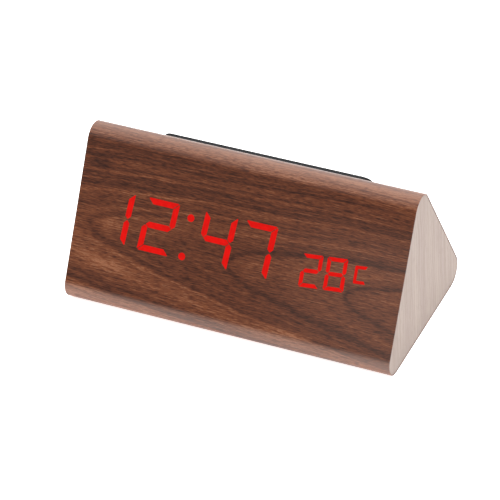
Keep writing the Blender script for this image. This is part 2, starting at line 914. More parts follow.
@dataclass(frozen=True)
class WalnutPrint(Finish):
    """Printed walnut film: nested rings of a flat-sawn board, with streaks and pores along it.

    Places on the film come from its own map: millimetres along the clock, and up the front, over the ridge
    and down the back. The lower a tone is, the darker the wood.
    """

    # the fibre, and how the grain wanders
    coarse: Fibre = Fibre(12.0, 0.9, 4.4, 0.4)
    fine: Fibre = Fibre(30.0, 0.5, 2.2, 0.42)
    slow_scale: Triple = (0.016, 0.05, 0.0)
    slow_warp: float = 5.0
    quick_scale: Triple = (0.06, 0.3, 0.0)
    quick_warp: float = 1.3
    fine_warp: float = 0.8

    # the rings' axis, their shape, and how far the fibre frays their edges
    axis_height: float = 37.0
    axis_slope: float = -0.05
    axis_start: float = -5.0
    ring_reach: float = 800.0
    ring_spread: float = 40.0
    ring_span: Span = (-360.0, 70.0)
    fray: float = 5.0

    # tones above and below the axis, by ring number, and the years' lines in them
    above: Tones = (
        (-360, 0.15), (-330, 0.25), (-290, 0.3), (-265, 0.2), (-240, 0.45), (-190, 0.5), (-165, 0.2),
        (-140, 0.2), (-127, 0.65), (-108, 0.5), (-85, 0.55), (-70, 0.7), (-52, 0.65), (-20, 0.4), (-6, 0.35),
        (8, 0.65), (40, 0.6), (50, 0.45), (66, 0.6),
    )
    below: Tones = (
        (-250, 0.8), (-225, 0.65), (-200, 0.3), (-170, 0.4), (-150, 0.55), (-133, 0.75), (-106, 0.8),
        (-82, 0.85), (-72, 0.55), (-60, 0.4), (-35, 0.3), (-18, 0.45), (-6, 0.4), (8, 0.45), (40, 0.5),
        (50, 0.4), (66, 0.55),
    )
    change_over: Span = (-2.0, 2.0)
    year_scale: float = 0.06
    year_depth: float = 2.2
    year_axis_share: float = 0.35
    year_rise: Span = (4.0, 18.0)

    # straight bands and lines, far from the axis
    straight_rise: Span = (36.0, 44.0)
    band_scale: Triple = (0.004, 0.17, 0.0)
    band_rise: Span = (0.25, 0.75)
    band_tones: Span = (0.05, 0.85)
    line_scale: Triple = (0.006, 0.6, 0.0)
    line_depth: float = 1.6

    # dark late wood, and a knot and pale places
    late_rings: tuple[LateRing, ...] = (
        LateRing(-3.0, 1.7, 0.95), LateRing(51.0, 1.5, 0.95), LateRing(-68.0, 2.0, 0.5),
    )
    patches: tuple[Patch, ...] = (
        Patch(-67.0, 66.0, 9.0, 3.6, -0.55), Patch(-60.0, 24.0, 20.0, 5.0, 0.4),
        Patch(-57.0, 40.0, 9.0, 6.0, 0.3), Patch(32.0, 14.0, 24.0, 3.0, 0.45),
        Patch(9.0, 36.0, 14.0, 5.0, 0.15),
    )
    core: float = 0.1

    # how far each pattern moves the tone, and how dark the pores are
    streak_depth: float = 0.6
    fine_depth: float = 1.5
    dash_depth: float = 2.1
    crinkle_depth: float = 1.5
    quick_depth: float = 0.25
    pore_depth: float = 0.3
    speck_depth: float = 0.3

    # paler wood at the foot and over the ridge, where the film is stretched
    foot_fall: Span = (10.5, 13.3)
    foot_tone: float = 0.22
    ridge_rise: Span = (75.0, 79.0)
    ridge_fall: Span = (86.0, 90.0)
    ridge_tone: float = 0.6

    # a thin pale veil at the foot, on the ridge and towards the right end
    veil_colour: Colour = srgb(205, 190, 182)
    foot_veil: float = 0.1
    foot_veil_rise: Span = (6.0, 8.5)
    ridge_veil: float = 0.16
    ridge_veil_rise: Span = (78.0, 84.0)
    end_veil: float = 0.04
    end_veil_rise: Span = (-10.0, 80.0)
    end_veil_fall: Span = (50.0, 75.0)

    # the surface, and the shades by tone
    streak_rough: float = 0.12
    streak_height: float = 0.4
    pore_height: float = -0.3
    emboss: float = 0.03
    gloss: float = 0.3
    shades: Stops = (
        (-0.3, (0.030, 0.0095, 0.0052)),
        (0.0, (0.053, 0.0160, 0.0082)),
        (0.25, (0.083, 0.0245, 0.0118)),
        (0.45, (0.104, 0.0300, 0.0132)),
        (0.7, (0.142, 0.0430, 0.0182)),
        (1.0, (0.205, 0.0660, 0.0275)),
        (1.3, (0.300, 0.1180, 0.0580)),
    )

    def film_place(self, graph: Graph) -> FilmPlace:
        """Read the place on the film, and draw the warp and the coarse fibre there.

        Args:
            graph: the material's nodes.

        Returns:
            The place, with its patterns.
        """
        mapped = graph.node("ShaderNodeUVMap", uv_map=GRAIN_MAP).outputs[0]
        place = graph.stretched(mapped, (1 / MM, 1 / MM, 0.0))
        along, across = graph.parts(place)[:2]
        slow = graph.noise(graph.stretched(place, self.slow_scale), detail=1.0)
        quick = graph.noise(graph.stretched(place, self.quick_scale))
        warp = graph.add(graph.swing(slow, self.slow_warp), graph.swing(quick, self.quick_warp))
        return FilmPlace(along, across, warp, quick, self.coarse.draw(graph, place))

    def ring_place(self, graph: Graph, film: FilmPlace) -> RingPlace:
        """Number the rings, which are pointed arches that nest along their axis.

        The number is x - reach * (sqrt(1 + (d / spread)^2) - 1), where d is the height over the axis.

        Args:
            graph: the material's nodes.
            film: the place on the film.

        Returns:
            The place among the rings.
        """
        past_start = graph.add(film.along, -self.axis_start)
        axis = graph.add(graph.times(past_start, self.axis_slope), self.axis_height)
        height = graph.add(graph.math("SUBTRACT", film.across, axis), film.warp)
        root = graph.diagonal(graph.math("DIVIDE", height, self.ring_spread), 1.0)
        frayed = graph.add(film.along, graph.swing(film.fibre.streaks, self.fray))
        bent = graph.times(graph.add(root, -1.0), self.ring_reach)
        return RingPlace(height, root, graph.math("SUBTRACT", frayed, bent))

    def ring_tone(self, graph: Graph, number: Socket, tones: Tones) -> Socket:
        """Find the tone of a ring.

        Args:
            graph: the material's nodes.
            number: of the ring.
            tones: the tone at some of the numbers.

        Returns:
            The tone.
        """
        start = self.ring_span[0]
        length = self.ring_span[1] - start
        stops = tuple(((place - start) / length, (tone, tone, tone)) for place, tone in tones)
        return graph.ramp(graph.math("DIVIDE", graph.math("SUBTRACT", number, start), length), stops)

    def nested_tone(self, graph: Graph, rings: RingPlace) -> Socket:
        """Draw the nested rings, with a year's lines that fade near the axis.

        Args:
            graph: the material's nodes.
            rings: the place among the rings.

        Returns:
            The tone.
        """
        upper = self.ring_tone(graph, rings.number, self.above)
        lower = self.ring_tone(graph, rings.number, self.below)
        nested = graph.mix(graph.steps(rings.height, self.change_over), lower, upper)
        place = graph.joined(graph.times(rings.number, self.year_scale), 0.0, 0.0)
        years = graph.noise(place, detail=3.0, roughness=0.65)
        off_axis = graph.math("ABSOLUTE", rings.height)
        depth = graph.steps(off_axis, self.year_rise, self.year_axis_share * self.year_depth, self.year_depth)
        return graph.add(nested, graph.swing(years, depth))

    def straight_tone(self, graph: Graph, film: FilmPlace) -> Socket:
        """Draw the bands and fine lines that run straight along the clock.

        Args:
            graph: the material's nodes.
            film: the place on the film.

        Returns:
            The tone.
        """
        place = graph.joined(film.along, graph.add(film.across, film.warp), 0.0)
        bands = graph.noise(graph.stretched(place, self.band_scale), detail=3.0, roughness=0.6)
        lines = graph.noise(graph.stretched(place, self.line_scale), detail=3.0, roughness=0.7)
        return graph.add(graph.steps(bands, self.band_rise, *self.band_tones),
                         graph.swing(lines, self.line_depth))

    def with_late_rings(self, graph: Graph, rings: RingPlace, tone: Socket) -> Socket:
        """Darken the late wood, which keeps its width on the film however steeply a ring runs.

        A ring's steepness is the root of 1 and the square of the slope of its formula.

        Args:
            graph: the material's nodes.
            rings: the place among the rings.
            tone: the tone without late wood.

        Returns:
            The tone with it.
        """
        rise = graph.times(rings.height, self.ring_reach / self.ring_spread ** 2)
        steepness = graph.diagonal(graph.math("DIVIDE", rise, rings.root), 1.0)
        for late in self.late_rings:
            past = graph.math("DIVIDE", graph.add(rings.number, -late.number), steepness)
            away = graph.math("ABSOLUTE", past)
            dark = graph.steps(away, (self.core, late.half_width), late.darkness, 0.0)
            tone = graph.mix(dark, tone, (0.0, 0.0, 0.0))
        return tone

    def with_patches(self, graph: Graph, film: FilmPlace, tone: Socket) -> Socket:
        """Add the knot and the pale places.

        Args:
            graph: the material's nodes.
            film: the place on the film.
            tone: the tone without them.

        Returns:
            The tone with them.
        """
        for patch in self.patches:
            far = graph.diagonal(
                graph.times(graph.add(film.along, -patch.along), 1 / patch.half_length),
                graph.times(graph.add(film.across, -patch.across), 1 / patch.half_height),
            )
            tone = graph.add(tone, graph.steps(far, (self.core, 1.0), patch.change, 0.0))
        return tone

    def wood_tone(self, graph: Graph, film: FilmPlace) -> Socket:
        """Draw the board: rings near their axis, straight bands far from it, late wood and patches.

        Args:
            graph: the material's nodes.
            film: the place on the film.

        Returns:
            The tone.
        """
        rings = self.ring_place(graph, film)
        straight = graph.steps(graph.math("ABSOLUTE", rings.height), self.straight_rise)
        tone = graph.mix(straight, self.nested_tone(graph, rings), self.straight_tone(graph, film))
        return self.with_patches(graph, film, self.with_late_rings(graph, rings, tone))

    def veil(self, graph: Graph, film: FilmPlace) -> Socket:
        """Find how thick the pale veil is.

        Args:
            graph: the material's nodes.
            film: the place on the film.

        Returns:
            Its share in the colour.
        """
        return graph.add(
            graph.between(film.across, self.foot_veil_rise, self.foot_fall, self.foot_veil),
            graph.between(film.across, self.ridge_veil_rise, self.ridge_fall, self.ridge_veil),
            graph.times(graph.steps(film.along, self.end_veil_rise, 0.0, self.end_veil),
                        graph.steps(film.across, self.end_veil_fall, 1.0, 0.0)),
        )

    def shade(self, graph: Graph, tone: Socket) -> Socket:
        """Turn a tone into a colour of the wood.

        Args:
            graph: the material's nodes.
            tone: the tone.

        Returns:
            The colour.
        """
        darkest = self.shades[0][0]
        length = self.shades[-1][0] - darkest
        stops = tuple(((place - darkest) / length, colour) for place, colour in self.shades)
        return graph.ramp(graph.math("DIVIDE", graph.add(tone, -darkest), length), stops)

    def fill(self, surface: Surface) -> None:
        """Put the board and its fibre in the tone, then pores and the veil in the colour.

        Args:
            surface: the material's nodes.
        """
        film = self.film_place(surface)
        streaks, dashes, pores = film.fibre
        warped = surface.add(film.across, surface.times(film.warp, self.fine_warp))
        fine = self.fine.draw(surface, surface.joined(film.along, warped, 0.0))
        tone = surface.add(
            self.wood_tone(surface, film),
            surface.steps(film.across, self.foot_fall, self.foot_tone, 0.0),
            surface.between(film.across, self.ridge_rise, self.ridge_fall, self.ridge_tone),
            surface.swing(streaks, self.streak_depth),
            surface.swing(fine.streaks, self.fine_depth),
            surface.swing(dashes, self.dash_depth),
            surface.swing(fine.dashes, self.crinkle_depth),
            surface.swing(film.quick, self.quick_depth),
        )
        open_pores = surface.add(surface.times(pores, self.pore_depth),
                                 surface.times(fine.pores, self.speck_depth))
        colour = surface.mix(open_pores, self.shade(surface, tone), self.shades[0][1])
        height = surface.add(surface.times(streaks, self.streak_height), dashes,
                             surface.times(pores, self.pore_height))
        surface.feed("Base Color", surface.mix(self.veil(surface, film), colour, self.veil_colour))
        surface.feed("Roughness", surface.add(surface.times(streaks, self.streak_rough), self.roughness))
        surface.feed("Normal", surface.bump(height, self.emboss * MM))
        surface.feed("Specular IOR Level", self.gloss)


@dataclass(frozen=True)
class CellSleeve(Finish):
    """Plain sleeve of a cell: slate over most of its length, one pale band, and bare metal at the rims."""

    band: Colour = srgb(196, 198, 194)
    bare: Colour = srgb(176, 176, 174)
    sleeve_start: float = 0.02
    band_start: float = 0.82
    band_end: float = 0.97
    scuff_scale: float = 0.7
    scuff_rise: Span = (0.5, 0.8)
    scuff_share: float = 0.2
    scuff_rough: float = 0.6
    metal: float = 0.6

    def fill(self, surface: Surface) -> None:
        """Draw the bands by the piece's own share of length, with faint scuffs.

        Args:
            surface: the material's nodes.
        """
        share = surface.node("ShaderNodeAttribute", attribute_name=LENGTH_SHARE).outputs["Fac"]
        stops = ((0.0, self.bare), (self.sleeve_start, self.colour), (self.band_start, self.band),
                 (self.band_end, self.bare))
        body = surface.ramp(share, stops, "CONSTANT")
        patches = surface.noise(surface.point(), scale=self.scuff_scale, detail=4.0, roughness=0.7)
        scuffs = surface.steps(patches, self.scuff_rise, 0.0, self.scuff_share)
        surface.feed("Base Color", surface.mix(scuffs, body, self.bare))
        surface.feed("Roughness", surface.add(surface.times(scuffs, self.scuff_rough), self.roughness))
        surface.feed("Metallic", self.metal)


@dataclass(frozen=True)
class FlatCable(Finish):
    """Grey ribbon of parallel wires with one red edge."""

    pitch: float = 1.0
    edge_colour: Colour = (0.35, 0.02, 0.02)
    edge_blur: float = 0.05
    dust_scale: float = 0.5
    dust_gain: float = 1.3
    depth: float = 0.2

    def fill(self, surface: Surface) -> None:
        """Put round ribs across X, and red on the outermost one.

        Args:
            surface: the material's nodes.
        """
        across = surface.parts(surface.point())[0]
        wave = surface.math("ABSOLUTE", surface.math("SINE", surface.times(across, math.pi / self.pitch)))
        edge_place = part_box("ribbon_cable")[1].x / MM - self.pitch
        edge = surface.steps(across, (edge_place - self.edge_blur, edge_place + self.edge_blur))
        dust = surface.noise(surface.point(), scale=self.dust_scale, detail=3.0)
        grey = surface.mix(surface.times(dust, wave), self.colour, scaled(self.colour, self.dust_gain))
        surface.feed("Base Color", surface.mix(edge, grey, self.edge_colour))
        surface.feed("Normal", surface.bump(wave, self.depth * MM))


@dataclass(frozen=True)
class TwoWires(Finish):
    """Insulated leads: the upper one red and the lower one black."""

    other: Colour = (0.012, 0.012, 0.013)
    blur: float = 1.0
    skin_scale: float = 1.5
    depth: float = 0.01

    def fill(self, surface: Surface) -> None:
        """Colour the leads by height, with a soft extruded texture.

        Args:
            surface: the material's nodes.
        """
        place = surface.point()
        low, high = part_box("battery_leads")
        middle = (low.z + high.z) / 2 / MM
        upper = surface.steps(surface.parts(place)[2], (middle - self.blur, middle + self.blur))
        skin = surface.noise(place, scale=self.skin_scale)
        surface.feed("Base Color", surface.mix(upper, self.other, self.colour))
        surface.feed("Normal", surface.bump(skin, self.depth * MM))


class Slot(Enum):
    """Finish of each material slot of the record."""

    walnut_film = WalnutPrint("walnut film", (0.15, 0.06, 0.03), 0.3)
    pale_veneer = PaleEnd("pale end skin", srgb(176, 160, 152), 0.7)
    fibreboard = Fibreboard("fibreboard", srgb(176, 146, 110), 0.9)
    white_moulding = Moulding("white light box", srgb(232, 230, 224), 0.45, pebble=0.5)
    lit_red = LitGuide("lit guide", (0.03, 0.002, 0.002), 0.5)
    dark_guide = Moulding("unlit guide", srgb(120, 112, 108), 0.25, depth=0.003, see_through=0.5)
    circuit_board = CircuitBoard("solder mask", (0.012, 0.10, 0.035), 0.35)
    lamp = Moulding("lamp body", srgb(240, 224, 205), 0.2, depth=0.002)
    chip_black = Moulding("chip moulding", (0.014, 0.014, 0.015), 0.6, pebble=0.15, depth=0.006)
    connector_white = Moulding("connector nylon", srgb(226, 218, 198), 0.4, pebble=0.4)
    screw_steel = Metal("zinc plating", (0.62, 0.62, 0.60), 0.32)
    screw_black = Metal("blackened steel", (0.05, 0.05, 0.055), 0.38, tarnish=(0.10, 0.095, 0.09))
    ribbon_grey = FlatCable("flat cable", srgb(150, 150, 154), 0.55)
    black_moulding = Moulding(
        "black moulding", (0.009, 0.009, 0.0105), 0.5, pebble=0.28, depth=0.012, gloss=0.22)
    cell_sleeve = CellSleeve("cell sleeve", srgb(70, 84, 98), 0.28)
    contact_nickel = Metal("nickel plating", (0.66, 0.63, 0.57), 0.25)
    lead_insulation = TwoWires("lead insulation", (0.42, 0.012, 0.012), 0.4)
    can_metal = Metal("drawn can", (0.74, 0.74, 0.75), 0.28)
    capacitor_sleeve = Moulding("capacitor sleeve", (0.01, 0.012, 0.03), 0.3, depth=0.003)
    thermistor_bead = Moulding("dipped bead", (0.02, 0.05, 0.09), 0.25, depth=0.004)
    jack_black = Moulding("inlet moulding", (0.013, 0.013, 0.014), 0.38, pebble=0.2, depth=0.006)
    button_black = Moulding(
        "button moulding", (0.008, 0.008, 0.009), 0.45, pebble=0.22, depth=0.006, gloss=0.25)
    plunger_plastic = Moulding("plunger acetal", srgb(206, 196, 170), 0.4, depth=0.004)

    def dress(self, piece: bpy.types.Object) -> None:
        """Give a piece this finish."""
        self.value.dress(piece)


def settle(piece: bpy.types.Object, node: str, slot: Slot, body: str = "case") -> bpy.types.Object:
    """Put a piece in a CAD node's place, with its finish and its body.

    Args:
        piece: the new piece.
        node: the CAD node that it replaces.
        slot: its finish.
        body: the body that it moves with.

    Returns:
        The piece.
    """
    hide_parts(node)
    slot.dress(piece)
    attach(piece, body)
    return piece


# The case


@dataclass
class CaseSection:
    """The case's rounded triangle, worked out from the box of the wrapped film."""

    film: float = field(init=False)
    half_length: float = field(init=False)
    side: float = field(init=False)
    corner: float = field(init=False)
    height: float = field(init=False)
    faces: dict[str, Face] = field(init=False, default_factory=dict)

    def __post_init__(self) -> None:
        """Side and corner radius follow from the height and depth of a rounded equilateral triangle."""
        low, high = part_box("wrap_film")
        strip_low, strip_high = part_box("base_film")
        self.film = strip_high.z - strip_low.z
        self.half_length = high.x
        self.height = high.z
        depth = high.y - low.y
        self.corner = (2 * self.height / ROOT3 - depth) / (2 * (ROOT3 - 1) - 2 / ROOT3)
        self.side = (self.height + self.corner) * 2 / ROOT3
        rise = self.side * ROOT3 / 4
        for name, sign in (("front", -1), ("back", 1)):
            self.faces[name] = Face(
                origin=np.array((0, sign * self.side / 4, rise)),
                right=np.array((-sign, 0, 0)),
                up=np.array((0, -sign / 2, ROOT3 / 2)),
                out=np.array((0, sign * ROOT3 / 2, 0.5)),
            )

    @property
    def flat(self) -> Span:
        """How far up a face its flat starts and ends."""
        return ROOT3 * self.corner, self.side - ROOT3 * self.corner

    def centres(self) -> np.ndarray:
        """Centres of the front corner, the ridge and the back corner, as Y and Z."""
        out = self.side / 2 - ROOT3 * self.corner
        return np.array(((-out, self.corner), (0, self.height - self.corner), (out, self.corner)))

    def normals(self, steps: int) -> np.ndarray:
        """Outward directions round each corner, as Y and Z, turning by a third of a turn."""
        angles = CORNER_STARTS[:, None] - np.linspace(0, 1, steps) * TURN / 3
        return np.stack((np.cos(angles), np.sin(angles)), axis=-1)

    def loop(self, inset: float, steps: int) -> np.ndarray:
        """Closed outline moved in by an inset, as Y and Z."""
        return (self.centres()[:, None] + (self.corner - inset) * self.normals(steps)).reshape(-1, 2)

    def over_the_top(self, guard: float, extra: Span, steps: int) -> tuple[np.ndarray, np.ndarray]:
        """Follow the outline from the front seam over the ridge to the back seam.

        Each corner is an arc, and the flats join them.

        Args:
            guard: distance from an arc's end to a row that keeps the flat's shading flat.
            extra: heights up the back face that get rows of their own.
            steps: rows on each arc.

        Returns:
            Points as Y and Z, and their outward normals.
        """
        normals = self.normals(steps)
        arcs = self.centres()[:, None] + self.corner * normals
        flat_low, flat_high = self.flat
        length = flat_high - flat_low
        points, outward = [arcs[0]], [normals[0]]
        for number, rows in enumerate(((), [flat_high - height for height in extra])):
            start, end = arcs[number][-1], arcs[number + 1]
            along = np.array(sorted((guard, *rows, length - guard)))
            points += [start + along[:, None] * (end[0] - start) / length, end]
            outward += [np.tile(normals[number][-1], (len(along), 1)), normals[number + 1]]
        return np.concatenate(points), np.concatenate(outward)

    def run(self, points: np.ndarray) -> np.ndarray:
        """Measure along the outline: up the front face, over the ridge and down the back.

        The distance is the straight height on a flat, and the radius times the angle turned on a corner.

        Args:
            points: places on the outline.

        Returns:
            The distance of each.
        """
        flat_low, flat_high = self.flat
        arc = self.corner * TURN / 3
        over = flat_high + arc
        up_front, up_back = ((points - face.origin) @ face.up + self.side / 2 for face in self.faces.values())
        past_front, past_top, past_back = (
            self.corner * np.mod(start - np.arctan2(points[:, 2] - z, points[:, 1] - y), TURN)
            for start, (y, z) in zip(CORNER_STARTS, self.centres())
        )
        in_front = points[:, 1] < 0
        return np.select(
            [
                in_front & (up_front < flat_low),
                ~in_front & (up_back < flat_low),
                (up_front > flat_high) & (up_back > flat_high),
                in_front,
            ],
            [
                flat_low - arc + past_front,
                over + flat_high - flat_low + past_back,
                flat_high + past_top,
                up_front,
            ],
            over + flat_high - up_back,
        )


@dataclass
class Film:
    """The film wrapped over the three boards, and the strip underneath."""

    section: CaseSection
    edge_round: float = 0.15 * MM
    guard: float = 0.3 * MM
    end_lip: float = 6.0 * MM
    edge_lip: float = 3.0 * MM
    arc_steps: int = 33
    edge_steps: int = 4

    def opening(self) -> Span:
        """Half the length and half the height of the opening that the back panel's lips cover."""
        low, high = box_of(self.section.faces["back"].read("back_panel"))
        return (high[0] - low[0]) / 2 - self.end_lip, (high[1] - low[1]) / 2 - self.edge_lip

    def edge_loop(self, hole_x: float) -> tuple[np.ndarray, int, int]:
        """Go once round the film's thickness: along its outside, over one end, back inside, over the other.

        Args:
            hole_x: half the length of the opening.

        Returns:
            Place along X and depth of each point, and the columns where the opening starts on the outside
            and on the inside.
        """
        end, bend, film = self.section.half_length, self.edge_round, self.section.film
        flat_end = end - bend - self.guard
        angle = np.linspace(0, math.pi / 2, self.edge_steps)
        turn_x = end - bend + bend * np.sin(angle)
        turn_in = bend - bend * np.cos(angle)
        right = np.stack((turn_x, turn_in), axis=1)
        left = np.stack((-turn_x, turn_in), axis=1)[::-1]
        outer = np.array(((-flat_end, 0), (-hole_x, 0), (hole_x, 0), (flat_end, 0)))
        inner = np.array(((end, film), (hole_x, film), (-hole_x, film), (-end, film)))
        return np.concatenate((outer, right, inner, left)), 1, len(outer) + len(right) + 1

    def wrap(self) -> bpy.types.Object:
        """Make the film as a closed skin: a loop of place along X and depth, carried over the outline.

        Returns:
            The wrapped film, open where the back panel goes in.
        """
        middle = self.section.side / 2
        hole_x, hole_up = self.opening()
        points, normals = self.section.over_the_top(
            self.guard, (middle + hole_up, middle - hole_up), self.arc_steps)
        loop, outside, inside = self.edge_loop(hole_x)
        along = np.broadcast_to(loop[:, 0], (len(points), len(loop)))
        deep = points[:, None] - loop[None, :, 1, None] * normals[:, None]

        # the opening's quads are left out between its top row, on the back face, and the next
        hole_top = (middle + hole_up) * ROOT3 / 2
        row = int(np.argmin(np.abs(points[:, 1] - hole_top) + (points[:, 0] < 0)))
        skip = np.zeros((len(points) - 1, len(loop)), bool)
        skip[row, (outside, inside)] = True
        shell = Shell()
        numbers = shell.grid(np.dstack((along, deep)), wrap=True, skip=skip)
        shell.cap(numbers[0])
        shell.cap(numbers[-1])
        upper, lower = numbers[row], numbers[row + 1]
        for rim in (upper, lower):
            shell.cap(rim[[outside, outside + 1, inside, inside + 1]])
        for outer, inner in ((outside, inside + 1), (outside + 1, inside)):
            shell.cap(np.array((upper[outer], lower[outer], lower[inner], upper[inner])))
        piece = shell.make("walnut_wrap")
        places = vertex_places(piece.data)
        map_grain(piece, places[:, 0], self.section.run(places))
        return settle(piece, "wrap_film", Slot.walnut_film)

    def strip(self) -> bpy.types.Object:
        """Make the flat strip under the clock: its outline with rounded long edges, carried along X.

        Returns:
            The strip.
        """
        low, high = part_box("base_film")
        bend = self.edge_round
        outline = rounded([
            (low.y, high.z / 2, 0), (low.y, low.z, bend), (high.y, low.z, bend), (high.y, high.z, 0),
            (low.y, high.z, 0), (low.y, high.z / 2, 0),
        ], self.edge_steps)[:-1]
        ends = np.array((low.x, high.x))[:, None]
        shell = Shell()
        numbers = shell.grid(np.dstack((
            np.broadcast_to(ends, (2, len(outline))), np.broadcast_to(outline, (2, len(outline), 2)),
        )), wrap=True)
        shell.cap(numbers[0])
        shell.cap(numbers[1])
        piece = shell.make("walnut_strip")
        places = vertex_places(piece.data)
        map_grain(piece, places[:, 0], places[:, 1])
        return settle(piece, "base_film", Slot.walnut_film)

    def build(self) -> list[bpy.types.Object]:
        """Wrap and strip."""
        return [self.wrap(), self.strip()]


@dataclass
class EndSkins:
    """The two pale skins on the ends, each a rounded triangle with eased edges."""

    section: CaseSection
    recess: float = 0.06 * MM
    easing: float = 0.12 * MM
    guard: float = 0.4 * MM
    arc_steps: int = 33
    easing_steps: int = 4

    def skin(self, name: str, node: str, sign: int) -> bpy.types.Object:
        """Make one skin: rings of the outline from the middle of one side to the middle of the other.

        Args:
            name: the piece's name.
            node: the CAD node that it replaces.
            sign: 1 at the right end and -1 at the left.

        Returns:
            The piece.
        """
        low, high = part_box(node)
        inset = self.section.height - high.z
        outer = (high.x if sign > 0 else -low.x) - self.recess
        inner = low.x if sign > 0 else -high.x
        angle = np.linspace(0, math.pi / 2, self.easing_steps)
        turn_in = inset + self.easing - self.easing * np.sin(angle)
        turn_out = outer - self.easing + self.easing * np.cos(angle)
        profile = np.concatenate((
            ((inset + self.easing + self.guard, outer),), np.stack((turn_in, turn_out), axis=1),
            ((inset, inner), (inset + self.guard, inner)),
        ))
        rings = np.stack([self.section.loop(depth, self.arc_steps) for depth, _ in profile])
        along = np.broadcast_to(sign * profile[:, 1, None], rings.shape[:2])
        shell = Shell()
        numbers = shell.grid(np.dstack((along, rings)), wrap=True)
        shell.cap(numbers[0])
        shell.cap(numbers[-1])
        return settle(shell.make(name), node, Slot.pale_veneer)

    def build(self) -> list[bpy.types.Object]:
        """Both skins."""
        return [self.skin(f"{name}_pale_skin", f"{name}_end_veneer", sign)
                for name, sign in (("left", -1), ("right", 1))]


# The back unit


@dataclass
class Fasteners:
    """Cross-head screws in the node's own places, with a rolled thread."""

    section: CaseSection
    head_height: float = 1.3 * MM
    head_edge: float = 0.05 * MM
    crown: float = 0.45 * MM
    crown_rings: int = 26
    crown_width_share: float = 0.97
    crown_edge_shares: Span = (0.94, 1.15)
    recess_depth: float = 0.7 * MM
    recess_width: float = 0.3 * MM
    recess_reach: float = 1.25 * MM
    recess_arm_share: float = 1.6
    crest_share: float = 0.5
    thread_pitch: float = 0.85 * MM
    thread_depth: float = 0.18 * MM
    thread_sharpness: float = 5.0
    tip: float = 1.1 * MM
    tip_power: float = 0.7
    shank_rings: int = 110
    edge_steps: int = 3
    sides: int = 72
    sharp: float = 50.0

    def crown_surface(self, radius: float, angle: np.ndarray) -> tuple[np.ndarray, np.ndarray]:
        """Shape the top of a head, a dome with a cross sunk into it.

        The dome drops with the square of the radius, and the cross sinks by how near an angle and radius
        come to one of its two arms.

        Args:
            radius: of the head.
            angle: angles of the meridians, as one row.

        Returns:
            Radius and depth at each ring and angle.
        """
        radii = np.linspace(0, 1, self.crown_rings)[:, None] * radius * self.crown_width_share
        off_arm = np.minimum(np.abs(np.sin(angle)), np.abs(np.cos(angle))) * radii
        beside = np.clip(self.recess_arm_share - off_arm / self.recess_width, 0, 1)
        within = np.clip((self.recess_reach - radii) / self.recess_width, 0, 1)
        depths = self.crown * (radii / radius) ** 2 + self.recess_depth * beside * within
        return np.broadcast_to(radii, depths.shape), depths

    def shank_surface(self, core: float, total: float, angle: np.ndarray) -> tuple[np.ndarray, np.ndarray]:
        """Shape a shank with its thread and tip.

        The thread is a ridge where depth over pitch, less the share of a turn, is near a half.

        Args:
            core: radius between the threads.
            total: length of the screw.
            angle: angles of the meridians, as one row.

        Returns:
            Radius and depth at each ring and angle.
        """
        depths = np.linspace(self.head_height, total, self.shank_rings)[:, None]
        phase = np.mod(depths / self.thread_pitch - angle / TURN, 1.0)
        ridge = np.clip(1 - np.abs(phase - 0.5) * self.thread_sharpness, 0, 1) * self.thread_depth
        taper = np.clip((total - depths) / self.tip, 0, 1) ** self.tip_power
        radii = (core + ridge) * taper
        return radii, np.broadcast_to(depths, radii.shape)

    def screw(self, shell: Shell, face: Face, box: Box, outward: int) -> None:
        """Make one screw as a surface of ring and angle: its crown, the rim of its head and its shank.

        Args:
            shell: where the screw goes.
            face: the side of the case that it is square to.
            box: its box in the face's axes.
            outward: 1 if the head is outermost, and -1 if it is innermost.
        """
        low, high = box
        radius = (high[0] - low[0]) / 2
        core = radius * self.crest_share - self.thread_depth
        x, up = ((low + high) / 2)[:2]
        top = high[2] if outward > 0 else low[2]
        angle = (np.arange(self.sides) / self.sides * TURN)[None]
        first_edge, last_edge = self.crown_edge_shares
        rim = rounded([
            (radius * self.crown_width_share, self.crown * first_edge, 0),
            (radius, self.crown * last_edge, self.head_edge),
            (radius, self.head_height, self.head_edge), (core, self.head_height, 0),
        ], self.edge_steps)
        rim_rings = np.broadcast_to(rim.T[:, :, None], (2, len(rim), self.sides))
        parts = (self.crown_surface(radius, angle), rim_rings,
                 self.shank_surface(core, high[2] - low[2], angle))
        radii, depths = (np.concatenate(rings) for rings in zip(*parts))
        shell.grid(face.place(np.dstack((
            x + radii * np.cos(angle), up + radii * np.sin(angle), top - outward * depths,
        ))), wrap=True)

    def build(self) -> list[bpy.types.Object]:
        """Make the screws of the panel, the display board and the control board.

        Returns:
            A piece for each of the three.
        """
        pieces = []
        for node, side, outward, slot in (
            ("panel_screws", "back", 1, Slot.screw_black),
            ("display_screws", "front", -1, Slot.screw_steel),
            ("pcb_screws", "back", -1, Slot.screw_steel),
        ):
            face = self.section.faces[side]
            shell = Shell()
            for box in face.halves(node, 0):
                self.screw(shell, face, box, outward)
            pieces.append(settle(shell.make(f"{node}_threaded", self.sharp), node, slot))
        return pieces


